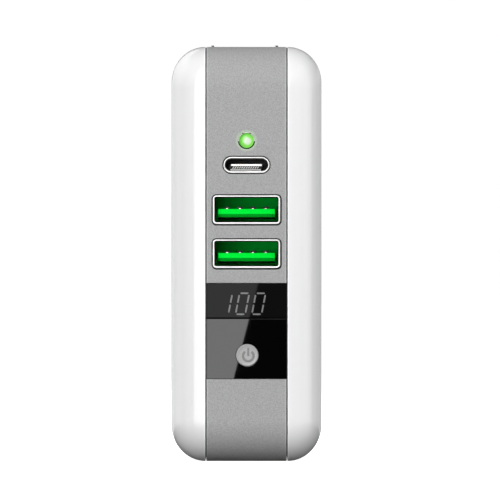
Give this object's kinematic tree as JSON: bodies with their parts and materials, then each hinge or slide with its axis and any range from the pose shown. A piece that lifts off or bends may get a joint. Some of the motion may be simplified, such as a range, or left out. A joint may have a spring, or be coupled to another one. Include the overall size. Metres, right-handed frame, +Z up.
{
  "type": "power bank",
  "caption": "Rounded slab plug-in power bank that stands on its narrow edge, with front charging sockets, a number display, a power button and a folding two-blade mains plug in its top.",
  "frame": {"origin": "middle of the base, on the surface it stands on", "axes": "+Z up; the sockets and display face -Y; +X is to the right of someone facing them"},
  "size_m": [0.0296, 0.078, 0.0821],
  "materials": {
    "white_gloss": "smooth glossy white polycarbonate",
    "silver_matte": "fine matt silver-grey paint",
    "smoked_window": "polished smoked acrylic",
    "cap_grey": "satin silver-grey",
    "lens_green": "lit green light pipe",
    "socket_green": "moulded bright green",
    "socket_black": "moulded black",
    "nickel": "bright nickel plate",
    "gold": "gold flash",
    "board_green": "solder mask",
    "cell_wrap": "shrink-wrapped steel can",
    "foam": "closed-cell foam",
    "holder": "moulded ABS",
    "ferrite": "sintered ferrite",
    "tape": "polyester tape",
    "sleeve": "capacitor sleeve",
    "plain_aluminium": "mill finish",
    "wire_red": "PVC insulation",
    "wire_black": "PVC insulation",
    "wire_blue": "PVC insulation"
  },
  "bodies": {
    "housing": {"left_shell": "white_gloss", "right_shell": "white_gloss", "band_frame": "silver_matte", "display_window": "smoked_window", "status_light_pipe": "lens_green", "usb_c_shell": "nickel", "usb_c_tongue": "socket_black", "usb_c_contacts_upper": "gold", "usb_c_contacts_lower": "gold", "usb_c_stand": "socket_black", "switch_base": "nickel", "port_board": "board_green", "display_module": "socket_black", "status_led": "white_gloss", "charge_controller_chip": "socket_black", "board_screw_lower": "nickel", "board_screw_upper": "nickel", "power_board": "board_green", "transformer_core": "ferrite", "transformer_winding": "tape", "mains_capacitor_front": "sleeve", "mains_capacitor_rear": "sleeve", "output_capacitor": "sleeve", "power_inductor": "ferrite", "heat_spreader": "plain_aluminium", "board_link_header": "socket_black", "battery_cell_front": "cell_wrap", "battery_cell_rear": "cell_wrap", "cell_strip_top": "nickel", "cell_strip_bottom": "nickel", "cell_holder_bottom": "holder", "cell_holder_top": "holder", "foam_pad_left": "foam", "foam_pad_right": "foam", "plug_cradle": "white_gloss", "plug_contact_left": "gold", "plug_contact_right": "gold", "plug_detent_spring": "nickel", "mains_lead_left": "wire_blue", "mains_lead_right": "wire_black", "battery_lead_positive": "wire_red", "battery_lead_negative": "wire_black", "usb_a_upper_shell": "nickel", "usb_a_upper_tongue": "socket_green", "usb_a_upper_contact_1": "nickel", "usb_a_upper_contact_2": "nickel", "usb_a_upper_contact_3": "nickel", "usb_a_upper_contact_4": "nickel", "usb_a_lower_shell": "nickel", "usb_a_lower_tongue": "socket_green", "usb_a_lower_contact_1": "nickel", "usb_a_lower_contact_2": "nickel", "usb_a_lower_contact_3": "nickel", "usb_a_lower_contact_4": "nickel"},
    "button": {"power_button_cap": "cap_grey", "switch_plunger": "socket_black"},
    "plug": {"plug_roller": "white_gloss", "plug_blade_left": "nickel", "plug_blade_right": "nickel"}
  },
  "joints": [
    {"name": "power_button_press", "type": "slide", "parent": "housing", "child": "button", "axis": [0, 1, 0], "range_m": [0, 0.0005], "stiffness_N_per_m": 2000, "springref_m": -0.0003},
    {"name": "plug_fold", "type": "hinge", "parent": "housing", "child": "plug", "pos_m": [0, 0.008, 0.07892], "axis": [-1, 0, 0], "range_deg": [0, 90]}
  ]
}
